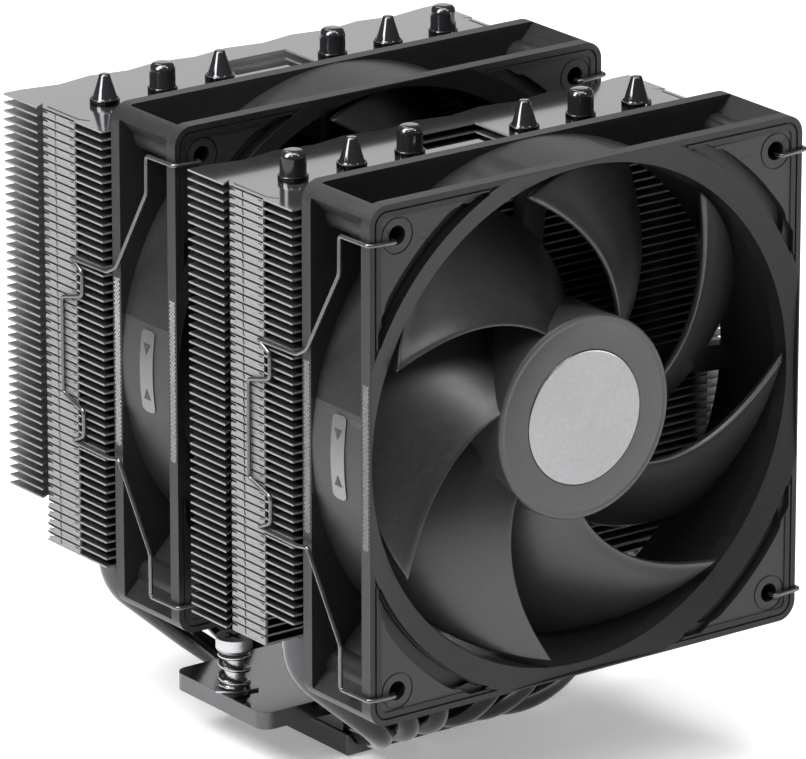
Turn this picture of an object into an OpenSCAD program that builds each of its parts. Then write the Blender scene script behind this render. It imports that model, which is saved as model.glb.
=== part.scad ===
// Twin-tower CPU cooler: two fin stacks on six U-shaped heat pipes, two 120 mm
// fans, a clamped base with a sprung mounting crossbar, and wire fan clips.
// Origin: centre of the cold plate's contact face. +Z up, X along the fan
// width, airflow along +Y, front fan at -Y.

/* [View] */
// Which node to show

/* [Fins] */
// Number of fins in each tower
fin_count = 53; // [20:1:60]
// Distance from one fin to the next
fin_pitch = 2.0; // [1.6:0.1:3]
// Sheet thickness of a fin
fin_t = 0.45; // [0.3:0.05:0.8]
// Height of the top fin's upper face above the contact face
fin_top_z = 147.5; // [130:0.5:160]
// Half width of the folded side walls
fin_hw = 61.2; // [55:0.1:65]
// Half width of the rear wings
wing_hw = 61.9; // [55:0.1:66]
// Fins left out at the lower outer edge of the front tower
front_cut_fins = 4; // [0:1:8]
// Fins left out at the lower outer edge of the rear tower
rear_cut_fins = 5; // [0:1:8]

/* [Heat pipes] */
// Outer diameter of a heat pipe
pipe_d = 6.0; // [5:0.5:8]
// Distance between pipes in the fins
pipe_pitch = 16.0; // [14:0.5:18]
// Distance between pipes in the base
pipe_base_pitch = 6.9; // [6.2:0.1:8]
// Distance from the centre plane to each pipe row
pipe_row = 36.65; // [30:0.05:42]
// Height of the pipe axes in the base
pipe_base_z = 5.4; // [4:0.1:8]
// Height of the pipe tips
tip_z = 154.6; // [140:0.1:165]

/* [Base] */
// Width of the cold plate along X
cold_w = 43.4; // [36:0.2:50]
// Depth of the cold plate along Y
cold_d = 40.6; // [36:0.2:50]
// Length of the crossbar
bar_l = 87.2; // [80:0.2:110]
// Width of the crossbar
bar_w = 35.8; // [16:0.2:40]
// Thickness of the crossbar
bar_t = 4.2; // [2:0.1:5]
// Distance between the two mounting screws
screw_span = 78.0; // [70:0.5:96]

/* [Fans] */
// Fan frame size
fan_w = 120.0; // [92:1:140]
// Fan frame depth
fan_t = 25.0; // [12:0.5:30]
// Distance between fan screw holes
fan_hole_span = 105.0; // [80:0.5:125]
// Fan screw hole diameter
fan_hole_d = 4.4; // [4:0.1:5]
// Radius of the boss round each fan screw hole
boss_r = 3.6; // [3:0.1:5]
// Thickness of the corner webs of the fan frame
web_t = 4.0; // [2:0.1:6]
// Height of the fan centre
fan_z = 94.4; // [80:0.1:110]
// Front face of the front fan
fan1_y = -81.5; // [-100:0.1:-60]
// Front face of the middle fan
fan2_y = -8.3; // [-20:0.1:5]
// Blades on each impeller
blade_count = 7; // [5:1:11]
// Radius of the blade tips
blade_r = 56.3; // [40:0.1:57]
// Radius of the impeller hub
hub_r = 23.7; // [18:0.1:28]

/* [Wire clips] */
// Wire diameter
wire_d = 1.0; // [0.8:0.1:1.6]

/* [Hidden] */
$fn = 48;

pipe_r = pipe_d / 2;
bore_r = pipe_r + 0.05;
bar_z = 10.4;
bar_top = bar_z + bar_t;
seat_t = 0.6;
seat_top = bar_top + seat_t;
split_z = pipe_base_z;
fin_bot_z = fin_top_z - (fin_count - 1) * fin_pitch;
screw_x = screw_span / 2;
screw_r = 2.3;
neck_r = 1.9;
head_r = 4.25;
head_z = 23.7;
head_top = 27.5;
pipe_x = [-3, -2, -1, 1, 2, 3];
pipe_bx = [-2.5, -1.5, -0.5, 0.5, 1.5, 2.5];
bend_r = pipe_row - cold_d / 2;
top_bend_r = 15;
steel = [0.16, 0.16, 0.17];
plastic = [0.10, 0.10, 0.11];

// ---------- base ----------

module rounded_rect(w, d, r) {
  union() {
    square([w - 2 * r, d], center = true);
    square([w, d - 2 * r], center = true);
    for (sx = [-1, 1], sy = [-1, 1]) translate([sx * (w / 2 - r), sy * (d / 2 - r)]) circle(r);
  }
}

module pipe_grooves() {
  for (b = pipe_bx)
    translate([b * pipe_base_pitch, 0, pipe_base_z])
      rotate([90, 0, 0]) cylinder(h = cold_d + 2, r = bore_r, center = true);
}

module cold_plate() {
  color([0.12, 0.12, 0.13]) difference() {
    translate([-cold_w / 2, -cold_d / 2, 0]) cube([cold_w, cold_d, split_z]);
    pipe_grooves();
  }
}

module clamp_block() {
  color([0.11, 0.11, 0.12]) difference() {
    union() {
      translate([-cold_w / 2 + 0.4, -cold_d / 2 + 2.4, split_z]) cube([cold_w - 0.8, cold_d - 4.8, 3.4]);
      translate([-cold_w / 2 + 2.4, -cold_d / 2 + 4.4, split_z + 3.4]) cube([cold_w - 4.8, cold_d - 8.8, bar_z - split_z - 3.4]);
    }
    pipe_grooves();
    for (x = [-13.8, 13.8], y = [-10, 10])
      translate([x, y, split_z + 3.2]) cylinder(h = 10, r = 1.25);
  }
}

module crossbar() {
  color([0.20, 0.20, 0.21]) difference() {
    translate([0, 0, bar_z]) linear_extrude(bar_t) rounded_rect(bar_l, bar_w, 3.2);
    for (s = [-1, 1]) translate([s * screw_x, 0, bar_z - 1]) cylinder(h = bar_t + 2, r = screw_r + 0.08);
    for (x = [-13.8, 13.8], y = [-10, 10]) translate([x, y, bar_z - 1]) {
      cylinder(h = bar_t + 2, r = 1.55);
      translate([0, 0, bar_t - 0.9]) cylinder(h = 3, r = 3.1);
    }
  }
}

module block_screws() {
  color(steel) for (x = [-13.8, 13.8], y = [-10, 10]) translate([x, y, 0]) difference() {
    union() {
      translate([0, 0, split_z + 3.6]) cylinder(h = bar_top - 1.8 - split_z - 3.6, r = 1.2);
      translate([0, 0, bar_top - 1.8]) cylinder(h = 1.7, r = 2.9);
    }
    translate([0, 0, bar_top - 1.0]) cylinder(h = 2, r = 1.2, $fn = 6);
  }
}

// ---------- sprung mounting screws ----------

module mount_screw(s) {
  color(steel) translate([s * screw_x, 0, 0]) difference() {
    union() {
      translate([0, 0, head_z + 1]) cylinder(h = head_top - head_z - 1, r = head_r);
      translate([0, 0, head_z]) cylinder(h = 1, r1 = 3.6, r2 = head_r);
      translate([0, 0, 8.7]) cylinder(h = head_z - 8.7 + 0.1, r = screw_r);
    }
    translate([0, 0, bar_z - 0.8]) difference() {
      cylinder(h = 0.8, r = screw_r + 1);
      cylinder(h = 0.8, r = neck_r);
    }
    translate([0, 0, 8]) cylinder(h = 10.7, r = 1.25);
    translate([-0.55, -2.6, head_top - 1.6]) cube([1.1, 5.2, 3]);
    translate([-2.6, -0.55, head_top - 1.6]) cube([5.2, 1.1, 3]);
  }
}

module mount_ring(s) {
  color(steel) translate([s * screw_x, 0, bar_z - 0.75]) linear_extrude(0.7) difference() {
    circle(4.2);
    circle(neck_r + 0.05);
    translate([0, 3]) square([2.6, 6], center = true);
  }
}

// Eared washer that the spring stands on.
module spring_seat(s) {
  color(steel) translate([s * screw_x, 0, bar_top]) linear_extrude(seat_t) difference() {
    union() {
      circle(4.3);
      rotate(-52) polygon([[2, -3.4], [5.8, -0.2], [5.8, 0.2], [3.6, 2.2]]);
      rotate(184) polygon([[3.6, -2.2], [5.3, -0.2], [5.3, 0.2], [2, 3.4]]);
    }
    circle(screw_r + 0.08);
  }
}

function coil_r() = 3.25;
function coil_wire() = 0.58;
function coil_turns() = 3.6;

// Closed left-hand helical tube between the spring seat and the screw head.
module coil(s) {
  z0 = seat_top + coil_wire() + 0.03;
  z1 = head_z - coil_wire() - 0.03;
  n = 16;
  m = 6;
  steps = ceil(n * coil_turns());
  function lift(t) = let (e = 0.75 / coil_turns()) t < e ? 0.02 * t / e
    : t > 1 - e ? 0.98 + 0.02 * (t - 1 + e) / e : 0.02 + 0.96 * (t - e) / (1 - 2 * e);
  function ring(i) = let (t = i / steps, a = 235 - 360 * coil_turns() * t, z = z0 + (z1 - z0) * lift(t))
    [for (j = [0 : m - 1]) let (b = 360 * j / m, r = coil_r() + coil_wire() * cos(b))
      [r * cos(a), r * sin(a), z + coil_wire() * sin(b)]];
  pts = [for (i = [0 : steps]) for (p = ring(i)) p];
  side = [for (i = [0 : steps - 1]) for (j = [0 : m - 1])
    [i * m + j, i * m + (j + 1) % m, (i + 1) * m + (j + 1) % m, (i + 1) * m + j]];
  tri = [for (q = side) for (k = [0, 1]) k == 0 ? [q[0], q[1], q[2]] : [q[0], q[2], q[3]]];
  cap0 = [[for (j = [m - 1 : -1 : 0]) j]];
  cap1 = [[for (j = [0 : m - 1]) steps * m + j]];
  color([0.35, 0.35, 0.37]) translate([s * screw_x, 0, 0]) polyhedron(pts, concat(tri, cap0, cap1));
}

// ---------- swept round stock ----------

function unit(v) = v / norm(v);
function rev(l) = [for (i = [len(l) - 1 : -1 : 0]) l[i]];
function flip_y(l) = [for (p = l) [p[0], -p[1], p[2]]];

// Closed tube along pts with a radius at each point; ref is never parallel to the path.
module sweep(pts, rads, m, ref) {
  n = len(pts);
  function dir(i) = i == 0 ? unit(pts[1] - pts[0]) : i == n - 1 ? unit(pts[n - 1] - pts[n - 2])
    : unit(unit(pts[i] - pts[i - 1]) + unit(pts[i + 1] - pts[i]));
  function ring(i) = let (t = dir(i), u = unit(cross(ref, t)), v = cross(t, u))
    [for (j = [0 : m - 1]) pts[i] + rads[i] * (cos(360 * j / m) * u + sin(360 * j / m) * v)];
  vs = [for (i = [0 : n - 1]) for (p = ring(i)) p];
  fs = [for (i = [0 : n - 2]) for (j = [0 : m - 1]) for (k = [0, 1])
    let (a = i * m + j, b = i * m + (j + 1) % m, c = b + m, d = a + m) k == 0 ? [a, c, b] : [a, d, c]];
  polyhedron(vs, concat(fs, [[for (j = [0 : m - 1]) j]], [[for (j = [m - 1 : -1 : 0]) (n - 1) * m + j]]));
}

// ---------- heat pipes ----------

pipe_sides = 12;

// Slant of the run between base and fins, by how far the pipe spreads.
function slant(d) = d > 26 ? 49 : d > 18 ? 38 : 24;

// Centreline of the leg at -Y, from the base end to just below the tip.
function leg(bx, tx) = let (
    d = tx - bx, sl = slant(d),
    l = (d - bend_r * sin(sl) - top_bend_r * (1 - cos(sl))) / sin(sl),
    z3 = pipe_base_z + bend_r * cos(sl) + l * cos(sl) + top_bend_r * sin(sl))
  concat(
    [for (t = [0 : 15 : 90]) [bx + sin(sl) * bend_r * (1 - cos(t)), -cold_d / 2 - bend_r * sin(t),
      pipe_base_z + cos(sl) * bend_r * (1 - cos(t))]],
    [for (k = [4 : -1 : 0]) let (t = sl * k / 4) [tx - top_bend_r * (1 - cos(t)), -pipe_row, z3 - top_bend_r * sin(t)]]);

// Tip profiles: [height, radius] from the pipe up to the end.
function tip(dome) = dome
  ? [[tip_z - 1.7, pipe_r], [tip_z - 0.75, 2.75], [tip_z - 0.2, 2.2], [tip_z, 1.5]]
  : [[fin_top_z + 1.4, pipe_r], [fin_top_z + 1.5, 2.8], [tip_z - 0.15, 1.25], [tip_z, 1.0]];
function tip_pts(x, y, dome) = [for (p = tip(dome)) [x, y, p[0]]];
function tip_rads(dome) = [for (p = tip(dome)) p[1]];

module heat_pipe(i) {
  bx = abs(pipe_bx[i]) * pipe_base_pitch;
  tx = abs(pipe_x[i]) * pipe_pitch;
  sl = slant(tx - bx);
  // dome and cone tips alternate along each row
  front_dome = i % 2 == 0;
  half = leg(bx, tx);
  path = concat(rev(concat(half, tip_pts(tx, -pipe_row, front_dome))),
    flip_y(half), tip_pts(tx, pipe_row, !front_dome));
  mid = [for (k = [1 : 2 * len(half)]) pipe_r];
  rads = concat(rev(tip_rads(front_dome)), mid, tip_rads(!front_dome));
  color([0.14, 0.14, 0.15]) mirror([i < 3 ? 1 : 0, 0, 0])
    sweep(path, rads, pipe_sides, [cos(sl), 0, -sin(sl)]);
}

// ---------- fins ----------

// Half outline of a fin, pipe row on the X axis, air enters at -Y.
function wave(k) = k % 2 == 0 ? 20.65 : 18.9;
function half_fin(front, rear) = concat(
  [[0, front ? -19.55 : -7]],
  front ? [[54, -19.55], [56, -17.8], [fin_hw, -17.8]] : [[fin_hw, -7]],
  [[fin_hw, 5.6]],
  rear ? [[fin_hw - 1.0, 7.2], [fin_hw - 2.0, 8.6], [wing_hw, 7.0], [wing_hw, 20.65]] : [[fin_hw, 6.2]],
  rear ? [for (k = [6 : -1 : 0]) [k * 9.55, wave(k)]] : [[0, 6.2]]);

module fin_2d(front = true, rear = true, slot = false) {
  difference() {
    union() for (m = [0, 1]) mirror([m, 0]) polygon(half_fin(front, rear));
    for (x = pipe_x) translate([x * pipe_pitch, 0]) circle(bore_r);
    if (slot) polygon([[-10.7, 0.6], [3.5, 0.6], [3.5, -3], [10.7, -3], [10.7, 11.4], [-10.7, 11.4]]);
  }
}

module fin_stack(cut_front, cut_rear) {
  union() {
    for (k = [0 : fin_count - 1]) {
      top = k >= fin_count - 3;
      f = k >= cut_front;
      r = k >= cut_rear;
      translate([0, 0, fin_bot_z + k * fin_pitch - fin_t]) linear_extrude(fin_t) fin_2d(f, r, top);
    }
    for (s = [-1, 1])
      translate([s * (fin_hw - 0.25) - 0.25, -7, fin_bot_z - fin_t])
        cube([0.5, 12.6, fin_top_z - fin_bot_z + fin_t]);
  }
}

module front_fins() { color([0.13, 0.13, 0.14]) translate([0, -pipe_row, 0]) fin_stack(front_cut_fins, 0); }
module rear_fins() { color([0.13, 0.13, 0.14]) translate([0, pipe_row, 0]) fin_stack(0, rear_cut_fins); }

module collars(y) {
  color([0.12, 0.12, 0.13]) for (x = pipe_x) translate([x * pipe_pitch, y, fin_top_z]) difference() {
    cylinder(h = 1.4, r = 3.45);
    translate([0, 0, -1]) cylinder(h = 4, r = bore_r);
  }
}

// ---------- fans (local frame: front face at y = 0, rear face at y = fan_t) ----------

// Turns a shape drawn with its axis on +Z so that the axis lies on +Y.
module along_y(y) { translate([0, y, 0]) rotate([-90, 0, 0]) children(); }

module fan_flange(y) {
  along_y(y) linear_extrude(3.2) difference() {
    rounded_rect(fan_w, fan_w, 4.5);
    circle(57.4, $fn = 96);
    for (sx = [-1, 1], sy = [-1, 1]) translate([sx, sy] * fan_hole_span / 2) circle(fan_hole_d / 2);
  }
}

module fan_frame() {
  color(plastic) difference() {
    union() {
      fan_flange(0);
      fan_flange(fan_t - 3.2);
      along_y(3.0) linear_extrude(fan_t - 6) difference() {
        union() {
          circle(59.8, $fn = 96);
          translate([-59.9, -11]) square([8, 22]);
        }
        circle(57.4, $fn = 96);
      }
      // corner webs between the flanges, with a boss round each screw hole
      along_y(3.0) linear_extrude(fan_t - 6) intersection() {
        rounded_rect(fan_w, fan_w, 4.5);
        difference() {
          union() {
            for (a = [45, 135, 225, 315]) rotate(a) translate([58.5, -web_t / 2]) square([28, web_t]);
            for (sx = [-1, 1], sz = [-1, 1]) translate([sx, sz] * fan_hole_span / 2) circle(boss_r, $fn = 32);
          }
          for (sx = [-1, 1], sz = [-1, 1]) translate([sx, sz] * fan_hole_span / 2) circle(fan_hole_d / 2);
        }
      }
      // motor mount and its struts
      along_y(20.2) linear_extrude(4.4) circle(23.2);
      for (a = [5, 95, 185, 275]) rotate([0, -a, 0]) translate([0, 20.6, 0]) rotate([-90, 0, 0])
        linear_extrude(3.8) polygon([[21, -3.2], [58.2, 4.4], [58.2, 10.4], [21, 3.2]]);
      along_y(6) cylinder(h = 15, r = 6);
    }
    // bezel of the intake, clipped by a straight lip at each side, and its lead-in
    intersection() {
      along_y(0) cylinder(h = 2.0, r1 = 63.5, r2 = 58.1, $fn = 96);
      translate([-fan_w / 2 + 0.4, -1, -fan_w / 2 + 0.4]) cube([fan_w - 0.8, 4, fan_w - 0.8]);
    }
    along_y(1.99) cylinder(h = 3.6, r1 = 58.1, r2 = 57.39, $fn = 96);
    // motor mount pocket and bearing seat
    along_y(20.1) linear_extrude(2.3) difference() { circle(21); circle(6); }
    along_y(5) cylinder(h = 17.4, r = 4.5);
    // crescent pockets beside the intake and rings round the screw holes
    along_y(-1) linear_extrude(2.4) intersection() {
      difference() { circle(66.4, $fn = 96); circle(63.4, $fn = 96); }
      union() for (a = [45, 135, 225, 315]) rotate(a) translate([60, 0]) square([30, 42], center = true);
      square(fan_w - 4.4, center = true);
    }
    for (sx = [-1, 1], sz = [-1, 1]) translate([sx, 0, sz] * fan_hole_span / 2)
      along_y(-1) linear_extrude(1.5) difference() { circle(4.3); circle(3.9); }
  }
}

// Leading edge angle behind the tip, as a function of the radius.
function sweep_back(r) = 41 * pow((blade_r - r) / (blade_r - hub_r), 1.12);
function chord_deg(r) = 47 - 3 * (r - hub_r) / (blade_r - hub_r);
function blade_y(s) = 2.6 + 16.6 * (0.82 * s + 0.18 * s * s);
function blade_mid(r, s, a0) = let (a = a0 - sweep_back(r) - s * chord_deg(r))
  [r * cos(a), blade_y(s) + 1.1 * (1 - s) * (r - hub_r) / (blade_r - hub_r) * -1, r * sin(a)];
function blade_half_t(s) = 0.35 + 1.5 * pow(max(s, 0.0001), 0.5) * (1 - s) * 0.55;

module blade(a0) {
  nr = 6;
  ns = 8;
  r0 = hub_r - 1.0;
  function rr(i) = i == 0 ? r0 : hub_r + (blade_r - hub_r) * (i - 0.6) / (nr - 0.6);
  function pt(i, j, side) = let (s = j / ns, p = blade_mid(rr(i), s, a0))
    [p[0], p[1] + side * blade_half_t(s), p[2]];
  pts = [for (i = [0 : nr]) for (j = [0 : ns]) for (side = [-1, 1]) pt(i, j, side)];
  function id(i, j, k) = (i * (ns + 1) + j) * 2 + k;
  faces = concat(
    [for (i = [0 : nr - 1]) for (j = [0 : ns - 1]) for (t = [0, 1])
      t == 0 ? [id(i, j, 0), id(i + 1, j, 0), id(i + 1, j + 1, 0)] : [id(i, j, 0), id(i + 1, j + 1, 0), id(i, j + 1, 0)]],
    [for (i = [0 : nr - 1]) for (j = [0 : ns - 1]) for (t = [0, 1])
      t == 0 ? [id(i, j, 1), id(i + 1, j + 1, 1), id(i + 1, j, 1)] : [id(i, j, 1), id(i, j + 1, 1), id(i + 1, j + 1, 1)]],
    [for (i = [0 : nr - 1]) for (t = [0, 1])
      t == 0 ? [id(i, 0, 0), id(i, 0, 1), id(i + 1, 0, 1)] : [id(i, 0, 0), id(i + 1, 0, 1), id(i + 1, 0, 0)]],
    [for (i = [0 : nr - 1]) for (t = [0, 1])
      t == 0 ? [id(i, ns, 0), id(i + 1, ns, 1), id(i, ns, 1)] : [id(i, ns, 0), id(i + 1, ns, 0), id(i + 1, ns, 1)]],
    [for (j = [0 : ns - 1]) for (t = [0, 1])
      t == 0 ? [id(0, j, 0), id(0, j + 1, 1), id(0, j, 1)] : [id(0, j, 0), id(0, j + 1, 0), id(0, j + 1, 1)]],
    [for (j = [0 : ns - 1]) for (t = [0, 1])
      t == 0 ? [id(nr, j, 0), id(nr, j, 1), id(nr, j + 1, 1)] : [id(nr, j, 0), id(nr, j + 1, 1), id(nr, j + 1, 0)]]);
  polyhedron(pts, faces);
}

module fan_impeller() {
  color(plastic) union() {
    difference() {
      along_y(1.4) cylinder(h = 18.4, r = hub_r);
      along_y(3.4) cylinder(h = 17, r = 22);
      along_y(0.9) cylinder(h = 1.0, r = 15.6);
    }
    for (k = [0 : blade_count - 1]) blade(3.9 + k * 360 / blade_count);
  }
}

module fan_disc() { color([0.75, 0.75, 0.76]) along_y(1.3) cylinder(h = 0.6, r = 15.5); }

module fan_label() {
  color([0.6, 0.6, 0.61]) translate([-60.2, 12, 0]) rotate([0, 90, 0]) linear_extrude(0.3) rounded_rect(19.5, 5, 1.2);
}

module fan_board() {
  color([0.05, 0.25, 0.12]) along_y(16.9) linear_extrude(1.2) difference() { circle(20.3); circle(6.05); }
}

module fan_stator() {
  color([0.4, 0.4, 0.42]) along_y(7.5) linear_extrude(6) difference() {
    union() {
      circle(9);
      for (a = [0 : 90 : 270]) rotate(a) translate([11, 0]) square([14, 5], center = true);
      for (a = [0 : 90 : 270]) rotate(a) intersection() {
        difference() { circle(18.7); circle(16.6); }
        translate([14, 0]) square([14, 20], center = true);
      }
    }
    circle(6.05);
  }
}

module fan_coils() {
  color([0.65, 0.35, 0.15]) for (a = [0 : 90 : 270]) rotate([0, a, 0]) translate([9.2, 0, 0]) difference() {
    translate([0, 5.9, -4.2]) cube([6.4, 9.2, 8.4]);
    translate([-1, 7.45, -2.55]) cube([9, 6.1, 5.1]);
  }
}

module fan_bearing() {
  color([0.7, 0.55, 0.25]) along_y(5.6) linear_extrude(15.4) difference() { circle(4.48); circle(1.55); }
}

module fan_shaft() {
  color([0.75, 0.75, 0.76]) along_y(3.5) difference() {
    cylinder(h = 18.3, r = 1.5);
    translate([0, 0, 17.65]) difference() { cylinder(h = 0.35, r = 3); cylinder(h = 0.35, r = 1.1); }
  }
}

module fan_magnet() {
  color([0.3, 0.3, 0.32]) difference() {
    along_y(3.4) cylinder(h = 13.2, r = 22);
    along_y(4.2) cylinder(h = 14, r = 19.5);
    along_y(3.5) cylinder(h = 14, r = 1.5);
  }
}

module fan_stop() {
  color(steel) along_y(21.18) linear_extrude(0.3) difference() { circle(2.6); circle(1.15); }
}

// ---------- wire clips ----------

// Left clip of a fan whose front face is at y = 0; the tower face starts at y = fan_t.
clip_pts = [[-53.3, 1.2, 145.7], [-53.3, -0.65, 145.7], [-60.7, -0.65, 146.1], [-60.9, 9.8, 146.0],
  [-60.9, 9.9, 137.2], [-61.85, 20.8, 117.2], [-61.85, 24.5, 115.2], [-61.85, 39.2, 114.9],
  [-61.85, 34.6, 112.6], [-61.85, 34.6, 106.8], [-61.85, 42.8, 104.6], [-61.85, 42.8, 81.6],
  [-61.85, 34.6, 79.2], [-61.85, 34.6, 73.1], [-61.85, 39.2, 70.9], [-61.85, 24.5, 70.7],
  [-61.85, 20.8, 71.4], [-60.9, 9.9, 51.6], [-60.9, 9.8, 41.2], [-60.7, -0.65, 41.4],
  [-53.5, -0.65, 41.1], [-53.5, 1.2, 41.1]];

module wire_clip(y) {
  color([0.2, 0.2, 0.21]) translate([0, y, 0])
    sweep(clip_pts, [for (p = clip_pts) wire_d / 2], 8, unit([1, 0.8, 0.9]));
}

module at_fan(y) { translate([0, y, fan_z]) children(); }

cold_plate();
clamp_block();
crossbar();
block_screws();
mount_screw(-1);  // screw_left
mount_screw(1);  // screw_right
coil(-1);  // spring_left
coil(1);  // spring_right
mount_ring(-1);  // ring_left
mount_ring(1);  // ring_right
spring_seat(-1);  // seat_left
spring_seat(1);  // seat_right
heat_pipe(0);  // heat_pipe_1
heat_pipe(1);  // heat_pipe_2
heat_pipe(2);  // heat_pipe_3
heat_pipe(3);  // heat_pipe_4
heat_pipe(4);  // heat_pipe_5
heat_pipe(5);  // heat_pipe_6
front_fins();
rear_fins();
collars(-pipe_row);  // front_collars
collars(pipe_row);  // rear_collars
at_fan(fan1_y) fan_frame();  // front_fan_frame
at_fan(fan1_y) fan_impeller();  // front_fan_impeller
at_fan(fan1_y) fan_disc();  // front_fan_disc
at_fan(fan1_y) fan_label();  // front_fan_label
at_fan(fan1_y) fan_board();  // front_fan_board
at_fan(fan1_y) fan_stator();  // front_fan_stator
at_fan(fan1_y) fan_coils();  // front_fan_coils
at_fan(fan1_y) fan_bearing();  // front_fan_bearing
at_fan(fan1_y) fan_shaft();  // front_fan_shaft
at_fan(fan1_y) fan_magnet();  // front_fan_magnet
at_fan(fan1_y) fan_stop();  // front_fan_stop
at_fan(fan2_y) fan_frame();  // middle_fan_frame
at_fan(fan2_y) fan_impeller();  // middle_fan_impeller
at_fan(fan2_y) fan_disc();  // middle_fan_disc
at_fan(fan2_y) fan_label();  // middle_fan_label
at_fan(fan2_y) fan_board();  // middle_fan_board
at_fan(fan2_y) fan_stator();  // middle_fan_stator
at_fan(fan2_y) fan_coils();  // middle_fan_coils
at_fan(fan2_y) fan_bearing();  // middle_fan_bearing
at_fan(fan2_y) fan_shaft();  // middle_fan_shaft
at_fan(fan2_y) fan_magnet();  // middle_fan_magnet
at_fan(fan2_y) fan_stop();  // middle_fan_stop
wire_clip(fan1_y);  // front_clip_left
mirror([1, 0, 0]) wire_clip(fan1_y);  // front_clip_right
wire_clip(fan2_y);  // middle_clip_left
mirror([1, 0, 0]) wire_clip(fan2_y);  // middle_clip_right
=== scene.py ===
import bpy, bmesh, math, random
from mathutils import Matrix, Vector


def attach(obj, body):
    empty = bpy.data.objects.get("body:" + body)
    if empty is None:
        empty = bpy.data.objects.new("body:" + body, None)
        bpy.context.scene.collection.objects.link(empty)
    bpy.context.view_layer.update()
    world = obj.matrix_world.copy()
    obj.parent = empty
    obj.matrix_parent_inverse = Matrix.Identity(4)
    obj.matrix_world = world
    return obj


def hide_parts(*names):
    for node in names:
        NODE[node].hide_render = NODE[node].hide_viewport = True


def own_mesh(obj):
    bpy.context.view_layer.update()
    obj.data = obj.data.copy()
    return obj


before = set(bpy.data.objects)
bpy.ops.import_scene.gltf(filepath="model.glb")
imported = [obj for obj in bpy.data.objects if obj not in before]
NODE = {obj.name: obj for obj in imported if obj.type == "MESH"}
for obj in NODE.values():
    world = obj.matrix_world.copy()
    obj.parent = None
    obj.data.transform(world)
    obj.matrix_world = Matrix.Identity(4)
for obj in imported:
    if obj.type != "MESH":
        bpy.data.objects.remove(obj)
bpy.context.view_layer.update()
MM = 0.001
FAN_Z, FAN1, FAN2 = 94.4, -81.5, -8.3
HUB_R, BLADE_R = 23.7, 56.3
random.seed(11)


# ------------------------------------------------------------------ materials
def mat(name, col, rough, metal=0.0, var=0.12, scale=350.0, stretch=(1, 1, 1), rvar=0.07,
        bump=0.0, bscale=2600.0, coat=0.0, spec=0.5, aniso=0.0, rings=None):
    m = bpy.data.materials.new(name)
    m.use_nodes = True
    nt = m.node_tree
    b = nt.nodes["Principled BSDF"]
    L = nt.links.new
    tc = nt.nodes.new("ShaderNodeTexCoord")
    mp = nt.nodes.new("ShaderNodeMapping")
    mp.inputs["Scale"].default_value = stretch
    L(tc.outputs["Object"], mp.inputs["Vector"])
    nz = nt.nodes.new("ShaderNodeTexNoise")
    nz.inputs["Scale"].default_value = scale
    nz.inputs["Detail"].default_value = 5.0
    L(mp.outputs["Vector"], nz.inputs["Vector"])
    cr = nt.nodes.new("ShaderNodeValToRGB")
    cr.color_ramp.elements[0].position = 0.32
    cr.color_ramp.elements[1].position = 0.68
    cr.color_ramp.elements[0].color = (*[c * (1 - var) for c in col], 1)
    cr.color_ramp.elements[1].color = (*[c * (1 + var) for c in col], 1)
    L(nz.outputs["Fac"], cr.inputs["Fac"])
    L(cr.outputs["Color"], b.inputs["Base Color"])
    mr = nt.nodes.new("ShaderNodeMapRange")
    mr.inputs["To Min"].default_value = max(0.03, rough - rvar)
    mr.inputs["To Max"].default_value = min(1.0, rough + rvar)
    L(nz.outputs["Fac"], mr.inputs["Value"])
    L(mr.outputs["Result"], b.inputs["Roughness"])
    b.inputs["Metallic"].default_value = metal
    b.inputs["Specular IOR Level"].default_value = spec
    b.inputs["Coat Weight"].default_value = coat
    b.inputs["Coat Roughness"].default_value = 0.08
    b.inputs["Anisotropic"].default_value = aniso
    if bump:
        n2 = nt.nodes.new("ShaderNodeTexNoise")
        n2.inputs["Scale"].default_value = bscale
        n2.inputs["Detail"].default_value = 3.0
        L(mp.outputs["Vector"], n2.inputs["Vector"])
        bp = nt.nodes.new("ShaderNodeBump")
        bp.inputs["Strength"].default_value = bump
        bp.inputs["Distance"].default_value = 0.0002
        L(n2.outputs["Fac"], bp.inputs["Height"])
        if rings:
            mp2 = nt.nodes.new("ShaderNodeMapping")
            mp2.inputs["Location"].default_value = (0, 0, -FAN_Z * MM)
            L(tc.outputs["Object"], mp2.inputs["Vector"])
            wv = nt.nodes.new("ShaderNodeTexWave")
            wv.wave_type = "RINGS"
            wv.rings_direction = "Y"
            wv.inputs["Scale"].default_value = rings
            L(mp2.outputs["Vector"], wv.inputs["Vector"])
            mx = nt.nodes.new("ShaderNodeMath")
            mx.operation = "ADD"
            L(wv.outputs["Fac"], mx.inputs[0])
            L(n2.outputs["Fac"], mx.inputs[1])
            L(mx.outputs[0], bp.inputs["Height"])
        L(bp.outputs["Normal"], b.inputs["Normal"])
    return m


M_FRAME = mat("frame_plastic_grain", (0.0090, 0.0092, 0.0096), 0.43, var=0.16, scale=900, bump=0.12, spec=0.24)
# knurl: the frame's plastic made much lighter, a painted glint on the diamonds
M_KNURL_PAINTED_GLINT = mat("knurl_plastic_painted_glint", (0.10, 0.10, 0.102), 0.30, var=0.15, scale=700, spec=0.6)
M_BLADE = mat("blade_plastic_grain", (0.013, 0.0133, 0.014), 0.33, var=0.14, scale=800, bump=0.06, spec=0.55)
M_HUB = mat("hub_plastic_grain", (0.040, 0.040, 0.041), 0.42, var=0.10, scale=1500, bump=0.10, spec=0.4)
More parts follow.
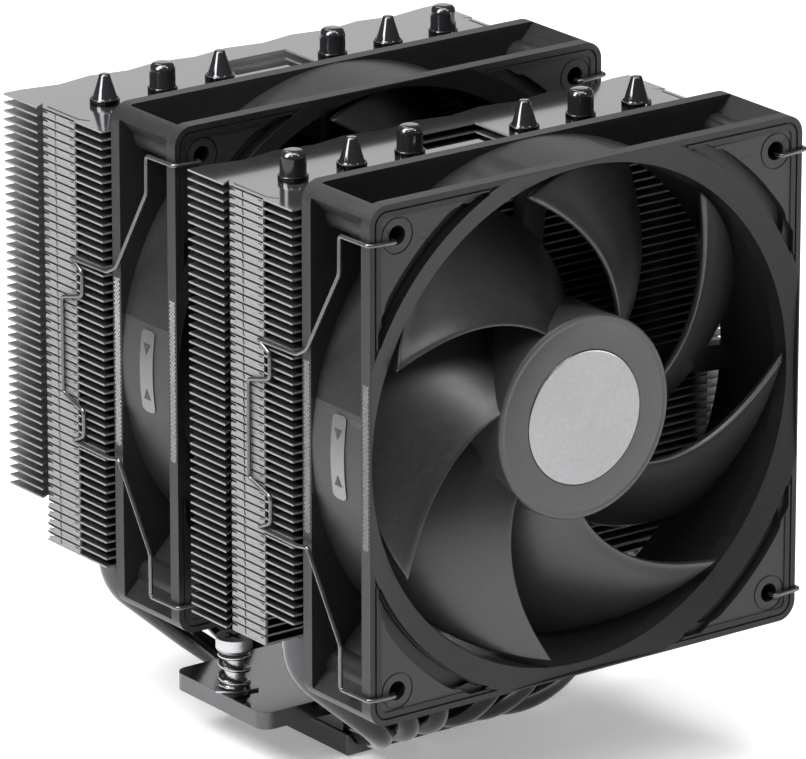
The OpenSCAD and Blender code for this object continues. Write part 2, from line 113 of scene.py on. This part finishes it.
# near-black plastic: real printed marks on the label, and painted shade in recesses, behind slits and in seams
M_PRINT_AND_PAINTED_SHADE = mat("print_and_painted_shade_plastic", (0.008, 0.008, 0.009), 0.6, var=0.2, scale=500)
M_DISC = mat("spun_metal_rings", (0.235, 0.235, 0.24), 0.25, metal=1.0, var=0.05, scale=900, stretch=(1, 0.1, 1), rvar=0.03, bump=0.10, rings=1150.0)
M_LABEL = mat("label_brushed", (0.145, 0.145, 0.148), 0.36, metal=1.0, var=0.06, scale=300, stretch=(1, 14, 1), bump=0.05)
M_TOPFIN = mat("fin_black_gloss", (0.012, 0.012, 0.013), 0.13, var=0.2, scale=25, stretch=(1, 2, 1), rvar=0.03, coat=0.6, spec=0.7)
M_FIN = mat("fin_black_satin", (0.020, 0.020, 0.022), 0.35, var=0.15, scale=60, rvar=0.05, spec=0.6)
# lighter grey for the fin edges and side tabs: a painted highlight on the black fin sheet
M_FIN_PAINTED_HIGHLIGHT = mat("fin_edge_painted_highlight", (0.125, 0.125, 0.128), 0.42, metal=0.10, var=0.10, scale=500, stretch=(1, 1, 6))
M_NICKEL = mat("black_nickel", (0.062, 0.063, 0.066), 0.15, metal=1.0, var=0.10, scale=80, rvar=0.04, bump=0.02, coat=0.3)
M_PIPE = mat("pipe_black_gloss", (0.030, 0.030, 0.033), 0.13, metal=0.75, var=0.10, scale=60, rvar=0.03, coat=0.5)
M_BASE = mat("plated_base", (0.10, 0.10, 0.105), 0.22, metal=1.0, var=0.10, scale=200, stretch=(1, 9, 1), rvar=0.05, bump=0.02)
M_STEEL = mat("brushed_steel", (0.33, 0.33, 0.34), 0.33, metal=1.0, var=0.06, scale=900, stretch=(1, 1, 4), rvar=0.03)
M_SPRING = mat("spring_wire", (0.30, 0.30, 0.31), 0.24, metal=1.0, var=0.12, scale=300, rvar=0.05)
M_CLIP = mat("clip_wire_black", (0.075, 0.075, 0.078), 0.24, metal=0.8, var=0.12, scale=240, rvar=0.05, coat=0.3)
M_BOARD = mat("circuit_green", (0.012, 0.075, 0.030), 0.42, var=0.25, scale=260, bump=0.1, bscale=900)
M_CORE = mat("laminated_core", (0.30, 0.30, 0.31), 0.40, metal=1.0, var=0.12, scale=700, stretch=(1, 9, 1))
M_COPPER = mat("copper_windings", (0.70, 0.28, 0.13), 0.30, metal=1.0, var=0.18, scale=900, stretch=(1, 6, 1), bump=0.2)
M_BRONZE = mat("sintered_bronze", (0.48, 0.32, 0.15), 0.42, metal=1.0, var=0.18, scale=1300, bump=0.15)
M_SHAFT = mat("ground_shaft", (0.62, 0.62, 0.64), 0.18, metal=1.0, var=0.06, scale=500, stretch=(1, 6, 1))
M_MAGNET = mat("ferrite_and_cup", (0.11, 0.11, 0.12), 0.45, metal=0.5, var=0.18, scale=600, bump=0.08)


# ------------------------------------------------------------------ geometry helpers (millimetres)
def link(o):
    bpy.context.scene.collection.objects.link(o)
    return o


def finish_mesh(me, angle):
    bm = bmesh.new()
    bm.from_mesh(me)
    bmesh.ops.recalc_face_normals(bm, faces=bm.faces)
    bm.to_mesh(me)
    bm.free()
    me.shade_smooth()
    me.set_sharp_from_angle(angle=math.radians(angle))


def piece(name, parts, body, rep=(), angle=35):
    """parts is a list of (verts in mm, faces, material); they become one object."""
    vs, fs, mi, mats = [], [], [], []
    for v, f, m in parts:
        if m not in mats:
            mats.append(m)
        k = len(vs)
        vs += [(p[0] * MM, p[1] * MM, p[2] * MM) for p in v]
        fs += [tuple(i + k for i in q) for q in f]
        mi += [mats.index(m)] * len(f)
    me = bpy.data.meshes.new(name)
    me.from_pydata(vs, [], fs)
    for m in mats:
        me.materials.append(m)
    me.polygons.foreach_set("material_index", mi)
    me.update()
    finish_mesh(me, angle)
    o = link(bpy.data.objects.new(name, me))
    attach(o, body)
    if rep:
        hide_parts(*rep)
    return o


def plate(loops, thick, place, bevel=0.0, res=1):
    """Closed 2D loops, holes included, extruded about their plane; place maps (a, b, c) to the row frame."""
    cu = bpy.data.curves.new("t", "CURVE")
    cu.dimensions = "2D"
    cu.fill_mode = "BOTH"
    cu.extrude = thick / 2 - bevel
    cu.bevel_depth = bevel
    cu.bevel_resolution = res
    cu.offset = -bevel
    for lp in loops:
        sp = cu.splines.new("POLY")
        sp.points.add(len(lp) - 1)
        for i, p in enumerate(lp):
            sp.points[i].co = (p[0], p[1], 0, 1)
        sp.use_cyclic_u = True
    o = link(bpy.data.objects.new("t", cu))
    bpy.context.view_layer.update()
    me = bpy.data.meshes.new_from_object(o.evaluated_get(bpy.context.evaluated_depsgraph_get()))
    bm = bmesh.new()
    bm.from_mesh(me)
    bmesh.ops.remove_doubles(bm, verts=bm.verts, dist=1e-4)
    vs = [place(*v.co) for v in bm.verts]
    fs = [tuple(v.index for v in f.verts) for f in bm.faces]
    bm.free()
    bpy.data.objects.remove(o)
    bpy.data.curves.remove(cu)
    bpy.data.meshes.remove(me)
    return vs, fs


def lathe(prof, n, c, axis="y"):
    """prof is (radius, height) points; c is the centre of the turning axis at height 0."""
    vs, fs, rows = [], [], []
    for r, h in prof:
        row = []
        for i in range(n if r > 1e-6 else 1):
            a = 2 * math.pi * i / n
            x, z = r * math.cos(a), r * math.sin(a)
            row.append(len(vs))
            vs.append((c[0] + x, c[1] + h, c[2] + z) if axis == "y" else (c[0] + x, c[1] + z, c[2] + h))
        rows.append(row)
    for a, b in zip(rows, rows[1:]):
        for i in range(n):
            j = (i + 1) % n
            q = [a[i % len(a)], a[j % len(a)], b[j % len(b)], b[i % len(b)]]
            q = [v for k, v in enumerate(q) if v not in q[:k]]
            if len(q) > 2:
                fs.append(tuple(q))
    return vs, fs


def tube(path, rad, m=20, caps=True):
    pts = [Vector(p) for p in path]
    n = len(pts)
    rads = rad if isinstance(rad, list) else [rad] * n
    vs, fs = [], []
    t0 = (pts[1] - pts[0]).normalized()
    u = t0.orthogonal().normalized()
    for i, p in enumerate(pts):
        t = ((pts[min(i + 1, n - 1)] - p).normalized() + (p - pts[max(i - 1, 0)]).normalized()).normalized()
        u = (u - t * u.dot(t)).normalized()
        v = t.cross(u)
        for j in range(m):
            a = 2 * math.pi * j / m
            vs.append(tuple(p + rads[i] * (math.cos(a) * u + math.sin(a) * v)))
    for i in range(n - 1):
        for j in range(m):
            k = (j + 1) % m
            fs.append((i * m + j, i * m + k, (i + 1) * m + k, (i + 1) * m + j))
    if caps:
        fs.append(tuple(range(m - 1, -1, -1)))
        fs.append(tuple((n - 1) * m + j for j in range(m)))
    return vs, fs


def rounded(path, r, k=6):
    """Polyline with each inner corner turned into an arc."""
    P = [Vector(p) for p in path]
    out = [P[0]]
    for a, b, c in zip(P, P[1:], P[2:]):
        d1, d2 = (a - b), (c - b)
        l = min(r, d1.length * 0.48, d2.length * 0.48)
        p, q = b + d1.normalized() * l, b + d2.normalized() * l
        for i in range(k + 1):
            t = i / k
            out.append(p * (1 - t) ** 2 + b * 2 * t * (1 - t) + q * t * t)
    out.append(P[-1])
    return [tuple(p) for p in out]


def circle(cx, cy, r, n=32):
    return [(cx + r * math.cos(2 * math.pi * i / n), cy + r * math.sin(2 * math.pi * i / n)) for i in range(n)]


def rrect(w, h, r, n=8):
    out = []
    for sx, sy, a0 in ((1, 1, 0), (-1, 1, 90), (-1, -1, 180), (1, -1, 270)):
        for i in range(n + 1):
            a = math.radians(a0 + 90 * i / n)
            out.append((sx * (w / 2 - r) + r * math.cos(a), sy * (h / 2 - r) + r * math.sin(a)))
    return out


def cad_copy(node, name, cutters=(), bevel=0.0, body="cooler", material=None, seg=2, cut_mat=None):
    """The CAD solid with its fine edges rounded and shallow detail cut in."""
    src = NODE[node]
    me = src.data.copy()
    me.name = name
    me.materials.clear()
    me.materials.append(material)
    me.polygons.foreach_set("material_index", [0] * len(me.polygons))
    bm = bmesh.new()
    bm.from_mesh(me)
    bm.transform(src.matrix_world)
    bmesh.ops.remove_doubles(bm, verts=bm.verts, dist=2e-6)
    bmesh.ops.dissolve_limit(bm, angle_limit=math.radians(0.6), verts=bm.verts, edges=bm.edges, use_dissolve_boundaries=False)
    bm.to_mesh(me)
    bm.free()
    o = link(bpy.data.objects.new(name, me))
    tmp = []
    for v, f in cutters:
        cm = bpy.data.meshes.new("cut")
        cm.from_pydata([(p[0] * MM, p[1] * MM, p[2] * MM) for p in v], [], f)
        cm.materials.append(cut_mat or material)
        b2 = bmesh.new()
        b2.from_mesh(cm)
        bmesh.ops.recalc_face_normals(b2, faces=b2.faces)
        b2.to_mesh(cm)
        b2.free()
        co = link(bpy.data.objects.new("cut", cm))
        tmp.append(co)
        md = o.modifiers.new("cut", "BOOLEAN")
        md.operation = "DIFFERENCE"
        md.solver = "EXACT"
        md.material_mode = "TRANSFER"
        md.object = co
    if bevel:
        bv = o.modifiers.new("edge", "BEVEL")
        bv.width = bevel * MM
        bv.segments = seg
        bv.limit_method = "ANGLE"
        bv.angle_limit = math.radians(50)
        bv.miter_outer = "MITER_ARC"
    bpy.context.view_layer.update()
    me2 = bpy.data.meshes.new_from_object(o.evaluated_get(bpy.context.evaluated_depsgraph_get()))
    for t in tmp:
        bpy.data.objects.remove(t)
    bpy.data.objects.remove(o)
    me2.name = name
    me2.shade_smooth()
    me2.set_sharp_from_angle(angle=math.radians(14))
    o = link(bpy.data.objects.new(name, me2))
    wn = o.modifiers.new("normals", "WEIGHTED_NORMAL")
    wn.mode = "FACE_AREA"
    wn.weight = 100
    wn.keep_sharp = True
    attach(o, body)
    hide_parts(node)
    return o


# ------------------------------------------------------------------ fans
def corner_loop(sx, sz, grow):
    """The outline of a corner panel of the intake face, grown or shrunk."""
    e, rc, ra = 58.45 + grow, 3.1 + grow, 63.95 - grow
    zi = math.sqrt(ra * ra - e * e)
    pts = [(e, zi)]
    for i in range(9):
        a = math.radians(90 * i / 8)
        pts.append((e - rc + rc * math.cos(a), e - rc + rc * math.sin(a)))
    pts.append((zi, e))
    a1, a0 = math.atan2(e, zi), math.atan2(zi, e)
    for i in range(1, 24):
        a = a1 + (a0 - a1) * i / 24
        pts.append((ra * math.cos(a), ra * math.sin(a)))
    return [(sx * x, sz * z) for x, z in pts]


def crescent(sx, sz):
    """The deep recess beside the intake, with rounded ends."""
    r0, w = 63.75, math.radians(17.5)
    pts = []
    for t in range(-14, 15):
        u = t / 14
        grow = 0.45 + 2.95 * min(1.0, max(0.0, (0.84 - abs(u)) / 0.22)) ** 0.6
        a = math.pi / 4 + w * u
        pts.append(((r0 + grow) * math.cos(a), (r0 + grow) * math.sin(a)))
    for t in range(14, -15, -1):
        a = math.pi / 4 + w * t / 14
        pts.append((r0 * math.cos(a), r0 * math.sin(a)))
    return [(sx * x, sz * y) for x, y in pts]


def fan_frame(tag, y0):
    cut = []
    for sx in (-1, 1):
        for sz in (-1, 1):
            cut.append(plate([corner_loop(sx, sz, 0.24), corner_loop(sx, sz, -0.24)], 2.0,
                             lambda a, b, c, y=y0: (a, y - 1.0 + 0.60 + c, FAN_Z + b)))
            cut.append(plate([corner_loop(sx, sz, -1.55)], 2.0, lambda a, b, c, y=y0: (a, y - 1.0 + 0.30 + c, FAN_Z + b)))
            cut.append(plate([crescent(sx, sz)], 4.0, lambda a, b, c, y=y0: (a, y + 1.05 + c, FAN_Z + b)))
    arc = [(-math.sqrt(59.82 ** 2 - z * z), z) for z in [12 - i for i in range(25)]]
    cut.append(plate([[(-61.5, -12), (-61.5, 12)] + arc], 18.5, lambda a, b, c, y=y0: (a, y + 12.5 + c, FAN_Z + b)))
    # the faces the cutters leave take the near-black material: painted shade in the panel grooves and crescent recesses
    o = cad_copy(f"{tag}_fan_frame", f"{tag}_frame", cut, 0.22, material=M_FRAME, cut_mat=M_PRINT_AND_PAINTED_SHADE)
    # knurled grip strips on the edges of both flanges; they are the frame's black plastic, coloured much lighter as a
    # painted glint
    vs, fs = [], []
    for sx in (-1, 1):
        for yc, z0, z1 in ((y0 + 1.6, 76.0, 114.0), (y0 + 23.4, 74.0, 114.0)):
            n = int((z1 - z0) / 0.5)
            for i in range(n):
                for j in ((-0.78, 0.0, 0.78) if i % 2 else (-0.39, 0.39)):
                    z = z0 + 0.5 * i
                    k = len(vs)
                    x = sx * 60.0
                    vs += [(x, yc + j - 0.36, z), (x, yc + j, z + 0.46), (x, yc + j + 0.36, z), (x, yc + j, z - 0.46), (x + sx * 0.30, yc + j, z)]
                    fs += [(k, k + 1, k + 4), (k + 1, k + 2, k + 4), (k + 2, k + 3, k + 4), (k + 3, k, k + 4)]
    piece(f"{tag}_frame_knurl", [(vs, fs, M_KNURL_PAINTED_GLINT)], "cooler", angle=10)
    return o


def blade_mesh(a0, y0):
    sweep = lambda r: 41 * ((BLADE_R - r) / (BLADE_R - HUB_R)) ** 1.12
    chord = lambda r: 47 - 3 * (r - HUB_R) / (BLADE_R - HUB_R)
    by = lambda s: 2.6 + 16.6 * (0.82 * s + 0.18 * s * s)
    ht = lambda s: 0.35 + 1.5 * math.sqrt(max(s, 0.0001)) * (1 - s) * 0.55 + 0.62 * math.exp(-(s / 0.09) ** 2)
    ns = 26
    S = [0.5 - 0.5 * math.cos(math.pi * i / ns) for i in range(ns + 1)]
    R = [(HUB_R - 1.0, 1.0)] + [(HUB_R + (BLADE_R - 0.6 - HUB_R) * i / 16, 1.0) for i in range(17)] + [
        (BLADE_R - 0.38, 0.93), (BLADE_R - 0.17, 0.76), (BLADE_R - 0.04, 0.5), (BLADE_R, 0.2)]
    vs, fs = [], []
    for r, f in R:
        ring = []
        for side, seq in ((1, range(ns + 1)), (-1, range(ns - 1, 0, -1))):
            for i in seq:
                s = S[i]
                e = min(s / 0.030, (1 - s) / 0.012, 1.0)
                t = ht(s) * f * math.sqrt(max(0.0, 1 - (1 - e) ** 2))
                a = math.radians(a0 - sweep(r) - s * chord(r))
                y = by(s) - 1.1 * (1 - s) * (r - HUB_R) / (BLADE_R - HUB_R)
                ring.append((r * math.cos(a), y0 + y - side * t, FAN_Z + r * math.sin(a)))
        vs += ring
    m = 2 * ns
    for i in range(len(R) - 1):
        for j in range(m):
            k = (j + 1) % m
            fs.append((i * m + j, i * m + k, (i + 1) * m + k, (i + 1) * m + j))
    fs.append(tuple(range(m)))
    fs.append(tuple((len(R) - 1) * m + j for j in range(m)))
    return vs, fs


def fan_rotor(tag, y0):
    hub = [(0, 1.9), (15.62, 1.9), (15.62, 1.55), (15.75, 1.42), (21.9, 1.42), (22.05, 1.5), (22.25, 1.5), (22.4, 1.4), (22.9, 1.4)]
    hub += [(22.9 + 0.8 * math.sin(math.radians(a)), 2.2 - 0.8 * math.cos(math.radians(a))) for a in (15, 30, 45, 60, 75, 90)]
    hub += [(23.7, 19.5), (23.5, 19.8), (22.2, 19.8), (22.0, 19.6), (22.0, 3.4), (0, 3.4)]
    c = (0, y0, FAN_Z)
    parts = [(*lathe(hub, 128, c), M_HUB)]
    for k in range(7):
        parts.append((*blade_mesh(3.9 + k * 360 / 7, y0), M_BLADE))
    piece(f"{tag}_impeller", parts, f"{tag}_rotor", (f"{tag}_fan_impeller",), angle=40)
    prof = [(0, 1.9), (15.5, 1.9), (15.5, 1.42), (15.38, 1.32)]
    r = 15.0
    while r > 0.6:
        prof += [(r, 1.30), (r - 0.2, 1.335)]
        r -= 0.4
    prof.append((0, 1.30))
    piece(f"{tag}_disc", [(*lathe(prof, 128, c), M_DISC)], f"{tag}_rotor", (f"{tag}_fan_disc",), angle=60)
    # label on the side of the barrel, with two plain generic marks
    vs, fs = [], []
    for i in range(33):
        z = -9.75 + 19.5 * i / 32
        o = max(0.0, abs(z) - 8.55)
        w = 2.5 - (1.2 - math.sqrt(max(0.0, 1.44 - o * o))) * 0.999
        for r, q in ((59.84, 1.0), (60.08, 1.0), (60.14, 0.97), (60.14, -0.97), (60.08, -1.0), (59.84, -1.0)):
            vs.append((-math.sqrt(r * r - z * z), y0 + 12 + q * w, FAN_Z + z))
    for i in range(32):
        for k in range(6):
            n = (k + 1) % 6
            fs.append((i * 6 + k, i * 6 + n, i * 6 + 6 + n, i * 6 + 6 + k))
    fs += [tuple(range(6)), tuple(range(197, 191, -1))]
    parts = [(vs, fs, M_LABEL)]
    for zc in (-5.4, 5.4):
        d0 = -1 if zc > 0 else 1
        tri = [(-1.3, zc - 1.2 * d0), (1.3, zc - 1.2 * d0), (0, zc + 1.3 * d0)]
        xm = -math.sqrt(60.14 ** 2 - zc * zc)
        parts.append((*plate([tri], 0.10, lambda a, b, d: (xm - 0.03 + d + (b - zc) * zc / 60, y0 + 12 + a, FAN_Z + b)), M_PRINT_AND_PAINTED_SHADE))
    piece(f"{tag}_label", parts, "cooler", (f"{tag}_fan_label",))


for tag, y0 in (("front", FAN1), ("middle", FAN2)):
    fan_frame(tag, y0)
    fan_rotor(tag, y0)

# ------------------------------------------------------------------ fin stacks
COUNT, PITCH, FT, TOP, HW, WING, ROW = 53, 2.0, 0.45, 147.5, 61.2, 61.9, 36.65
BOT = TOP - (COUNT - 1) * PITCH


def half_fin(front, rear):
    p = [(0, -19.55 if front else -7)]
    p += [(54, -19.55), (56, -17.8), (HW, -17.8)] if front else [(HW, -7)]
    p += [(HW, 5.6)]
    p += [(HW - 1.0, 7.2), (HW - 2.0, 8.6), (WING, 7.0), (WING, 20.65)] if rear else [(HW, 6.2)]
    p += [(k * 9.55, 20.65 if k % 2 == 0 else 18.9) for k in range(6, -1, -1)] if rear else [(0, 6.2)]
    return p


def fin_loops(front, rear, slot, holes=True):
    h = half_fin(front, rear)
    out = h + [(-x, y) for x, y in reversed(h[1:-1])]
    loops = [out]
    if holes:
        loops += [circle(16 * k, 0, 3.05, 28) for k in (-3, -2, -1, 1, 2, 3) if not (slot and abs(k) < 1)]
    if slot:
        loops.append([(-10.7, 0.6), (3.5, 0.6), (3.5, -3), (10.7, -3), (10.7, 11.4), (-10.7, 11.4)])
    return loops


for tag, yc, cf, cr in (("front", -ROW, 4, 0), ("rear", ROW, 0, 5)):
    body_parts, cache = [], {}
    for k in range(COUNT):
        key = (k >= cf, k >= cr, k >= COUNT - 3)
        if key not in cache:
            cache[key] = plate(fin_loops(*key), FT, lambda a, b, c: (a, b, c))
        v, f = cache[key]
        z = BOT + k * PITCH - FT / 2
        is_top = k == COUNT - 1
        # the sheet's faces are black; its cut edges are coloured lighter grey, a painted highlight where they catch the
        # light
        edge = [q for q in f if len(q) <= 4 and abs(max(v[i][2] for i in q) - min(v[i][2] for i in q)) > 0.2]
        es = set(edge)
        face = [q for q in f if q not in es]
        vv = [(a, b + yc, c + z) for a, b, c in v]
        body_parts.append((vv, face, M_TOPFIN if is_top else M_FIN))
        body_parts.append((vv, edge, M_FIN_PAINTED_HIGHLIGHT))
    # folded tabs closing each side, one per fin, with their louvre slits and notches; they take the same lighter grey,
    # a painted highlight on the black sheet
    for sx in (-1, 1):
        loops = []
        for k in range(COUNT - 1):
            z0, z1 = BOT + k * PITCH + 0.02, BOT + (k + 1) * PITCH - 0.07
            zn = z0 + 0.80
            loops.append([(-7.0, z0), (5.6, z0), (5.6, zn), (3.9, zn + 0.10), (3.55, zn + 0.33), (3.9, zn + 0.56), (5.6, zn + 0.66), (5.6, z1), (-7.0, z1)])
            loops.append([(0.22, z0 + 0.14), (0.74, z0 + 0.14), (1.10, z0 + 1.55), (0.58, z0 + 1.55)])
            loops.append([(-6.6, z0 + 0.95), (-5.2, z0 + 1.0), (-5.0, z0 + 1.14), (-5.2, z0 + 1.28), (-6.6, z0 + 1.25)])
        body_parts.append((*plate(loops, 0.5, lambda a, b, c: (sx * (HW - 0.25) + c, a + yc, b)), M_FIN_PAINTED_HIGHLIGHT))
        # a near-black sheet behind the slits: painted shade where the slits look into the dark inside of the stack
        body_parts.append((*plate([[(-6.8, BOT), (3.2, BOT), (3.2, TOP - 0.6), (-6.8, TOP - 0.6)]], 0.2,
                                  lambda a, b, c: (sx * (HW - 0.75) + c, a + yc, b)), M_PRINT_AND_PAINTED_SHADE))
    piece(f"{tag}_fin_stack", body_parts, "cooler", (f"{tag}_fins",), angle=20)
    # shallow folded seams along the edges of the top sheet, drawn as thin near-black lines: painted shade in the seam's
    # slit
    seams = []
    for sx in (-1, 1):
        path = [(sx * 59.9, yc + 5.6, TOP), (sx * 59.9, yc - 6.9, TOP), (sx * 58.5, yc - 9.2, TOP)]
        seams.append((*tube(path, 0.14, 10), M_PRINT_AND_PAINTED_SHADE))
    piece(f"{tag}_fin_seams", seams, "cooler", angle=60)
    cl = []
    for k in (-3, -2, -1, 1, 2, 3):
        prof = [(3.06, 0.0), (3.45, 0.0), (3.45, 1.2), (3.38, 1.34), (3.26, 1.4), (3.14, 1.4), (3.06, 1.3), (3.06, 0.0)]
        cl.append((*lathe(prof, 48, (16 * k, yc, TOP), "z"), M_NICKEL))
    piece(f"{tag}_collar_rings", cl, "cooler", (f"{tag}_collars",))

# ------------------------------------------------------------------ heat pipes
BR, TBR, PBZ, CD = ROW - 20.3, 15.0, 5.4, 40.6


def leg(bx, tx):
    d = tx - bx
    sl = math.radians(49 if d > 26 else 38 if d > 18 else 24)
    l = (d - BR * math.sin(sl) - TBR * (1 - math.cos(sl))) / math.sin(sl)
    z3 = PBZ + BR * math.cos(sl) + l * math.cos(sl) + TBR * math.sin(sl)
    a = [(bx + math.sin(sl) * BR * (1 - math.cos(t)), -CD / 2 - BR * math.sin(t), PBZ + math.cos(sl) * BR * (1 - math.cos(t)))
         for t in [math.radians(90 * i / 24) for i in range(25)]]
    b = [(tx - TBR * (1 - math.cos(t)), -ROW, z3 - TBR * math.sin(t)) for t in [sl * k / 12 for k in range(12, -1, -1)]]
    return a + b


def tip(dome):
    zt = 154.6
    if dome:
        return [(zt - 1.9, 3.0), (zt - 1.4, 2.95), (zt - 0.95, 2.82), (zt - 0.55, 2.58), (zt - 0.28, 2.25), (zt - 0.1, 1.85), (zt - 0.01, 1.35), (zt, 0.5)]
    return [(TOP + 1.4, 3.0), (TOP + 1.55, 2.86), (TOP + 1.7, 2.80), (zt - 0.45, 1.36), (zt - 0.3, 1.29), (zt - 0.1, 1.15), (zt - 0.01, 0.95), (zt, 0.3)]


for i, (pb, pt) in enumerate(zip((2.5, 1.5, 0.5, 0.5, 1.5, 2.5), (3, 2, 1, 1, 2, 3))):
    bx, tx = pb * 6.9, pt * 16.0
    fd = i % 2 == 0
    half = leg(bx, tx)
    front = half + [(tx, -ROW, TOP - 10)] + [(tx, -ROW, z) for z, r in tip(fd)]
    fr = [3.0] * (len(half) + 1) + [r for z, r in tip(fd)]
    back = [(x, -y, z) for x, y, z in half] + [(tx, ROW, TOP - 10)] + [(tx, ROW, z) for z, r in tip(not fd)]
    brs = [3.0] * (len(half) + 1) + [r for z, r in tip(not fd)]
    path, rads = front[::-1] + back, fr[::-1] + brs
    s = -1 if i < 3 else 1
    piece(f"pipe_{i + 1}", [(*tube([(s * x, y, z) for x, y, z in path], rads, 32), M_PIPE)], "cooler",
          (f"heat_pipe_{i + 1}",), angle=50)

# ------------------------------------------------------------------ base and mounting
cad_copy("cold_plate", "base_plate", (), 0.35, material=M_BASE)
cad_copy("clamp_block", "base_clamp", (), 0.45, material=M_NICKEL)
cad_copy("crossbar", "mount_crossbar", (), 0.45, material=M_NICKEL, seg=3)
cad_copy("block_screws", "clamp_screws", (), 0.18, material=M_NICKEL)
for s, side in ((-1, "left"), (1, "right")):
    cad_copy(f"screw_{side}", f"mount_screw_{side}", (), 0.22, body=f"{side}_screw", material=M_STEEL)
    cad_copy(f"ring_{side}", f"retaining_ring_{side}", (), 0.08, body=f"{side}_ring", material=M_STEEL)
    cad_copy(f"seat_{side}", f"spring_seat_{side}", (), 0.10, material=M_STEEL)
    turns, cr, wr, z0, z1 = 3.6, 3.25, 0.58, 15.81, 23.09
    n = 210
    e = 0.75 / turns
    path = []
    for i in range(n + 1):
        t = i / n
        lift = 0.02 * t / e if t < e else 0.98 + 0.02 * (t - 1 + e) / e if t > 1 - e else 0.02 + 0.96 * (t - e) / (1 - 2 * e)
        a = math.radians(235 - 360 * turns * t)
        path.append((s * 39 + cr * math.cos(a), cr * math.sin(a), z0 + (z1 - z0) * lift))
    o = piece(f"coil_spring_{side}", [(*tube(path, wr, 16), M_SPRING)], "cooler", (f"spring_{side}",), angle=50)
    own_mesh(o)

# ------------------------------------------------------------------ wire clips
CLIP = [(-53.3, 1.2, 145.7), (-53.3, -0.65, 145.7), (-60.7, -0.65, 146.1), (-60.9, 9.8, 146.0), (-60.9, 9.9, 137.2),
        (-61.85, 20.8, 117.2), (-61.85, 24.5, 115.2), (-61.85, 39.2, 114.9), (-61.85, 34.6, 112.6), (-61.85, 34.6, 106.8),
        (-61.85, 42.8, 104.6), (-61.85, 42.8, 81.6), (-61.85, 34.6, 79.2), (-61.85, 34.6, 73.1), (-61.85, 39.2, 70.9),
        (-61.85, 24.5, 70.7), (-61.85, 20.8, 71.4), (-60.9, 9.9, 51.6), (-60.9, 9.8, 41.2), (-60.7, -0.65, 41.4),
        (-53.5, -0.65, 41.1), (-53.5, 1.2, 41.1)]
for tag, y0 in (("front", FAN1), ("middle", FAN2)):
    for s, side in ((1, "left"), (-1, "right")):
        path = rounded([(s * x, y + y0, z) for x, y, z in CLIP], 1.0)
        piece(f"{tag}_{side}_wire", [(*tube(path, 0.5, 14), M_CLIP)], f"{tag}_{side}_clip", (f"{tag}_clip_{side}",), angle=60)

# ------------------------------------------------------------------ carried-over CAD nodes
KEEP = {"board": M_BOARD, "stator": M_CORE, "coils": M_COPPER, "bearing": M_BRONZE, "shaft": M_SHAFT, "magnet": M_MAGNET, "stop": M_STEEL}
for n, o in NODE.items():
    if not o.hide_render:
        m = KEEP.get(n.rsplit("_", 1)[-1], M_STEEL)
        o.data.materials.clear()
        o.data.materials.append(m)

# ------------------------------------------------------------------ floor, light, camera
fm = mat("pale_floor", (0.86, 0.86, 0.86), 1.0, var=0.01, scale=3, spec=0.0, rvar=0.0)
fm.node_tree.nodes["Principled BSDF"].inputs["Emission Color"].default_value = (1, 1, 1, 1)
fm.node_tree.nodes["Principled BSDF"].inputs["Emission Strength"].default_value = 0.30
me = bpy.data.meshes.new("floor")
me.from_pydata([(-6, -6, -0.0003), (6, -6, -0.0003), (6, 6, -0.0003), (-6, 6, -0.0003)], [], [(0, 1, 2, 3)])
me.materials.append(fm)
fl = link(bpy.data.objects.new("floor", me))

w = bpy.data.worlds.new("studio")
bpy.context.scene.world = w
w.use_nodes = True
bg = w.node_tree.nodes["Background"]
bg.inputs[0].default_value = (1, 1, 1, 1)
bg.inputs[1].default_value = 0.16


def area(name, loc, target, size, energy, sy=None):
    l = bpy.data.lights.new(name, "AREA")
    l.energy = energy
    l.shape = "RECTANGLE"
    l.size = size
    l.size_y = sy or size
    o = link(bpy.data.objects.new(name, l))
    o.location = loc
    o.visible_camera = False
    o.rotation_euler = (Vector(target) - Vector(loc)).to_track_quat("-Z", "Y").to_euler()


area("key_left", (-0.21, 0.00, 0.33), (-0.04, 0, 0.14), 0.13, 2.5, 0.30)
area("key_front", (-1.00, -0.80, 1.30), (0, -0.05, 0.09), 0.40, 5.0)
area("blade_glint", (0.35, -0.95, 1.15), (0.01, -0.07, 0.09), 0.22, 5.0, 0.5)
area("near_right", (0.23, -0.32, 0.13), (0.04, -0.08, 0.06), 0.16, 0.22, 0.12)
area("low_right", (0.95, -1.05, 0.16), (0.03, -0.08, 0.07), 0.30, 0.6, 0.12)
area("top_strip", (0.10, 0.60, 1.10), (0, 0, 0.14), 0.25, 2.5, 0.8)
area("floor_wash", (-0.2, -0.4, 2.6), (0, 0, 0), 1.6, 62.0)
area("back_fill", (0.70, 1.05, 0.50), (0, 0, 0.09), 0.6, 1.1)

cam = bpy.data.cameras.new("cam")
co = link(bpy.data.objects.new("cam", cam))
cam.sensor_fit = "HORIZONTAL"
cam.sensor_width = 36
cam.lens = 7846.7 * 36 / 806
cam.clip_start = 0.1
cam.clip_end = 20
co.location = (-1.0109, -1.3786, 0.6581)
co.rotation_euler = (math.radians(90 - 18.637), 0, math.radians(-36.5))
bpy.context.scene.camera = co
bpy.context.scene.view_settings.view_transform = "Standard"
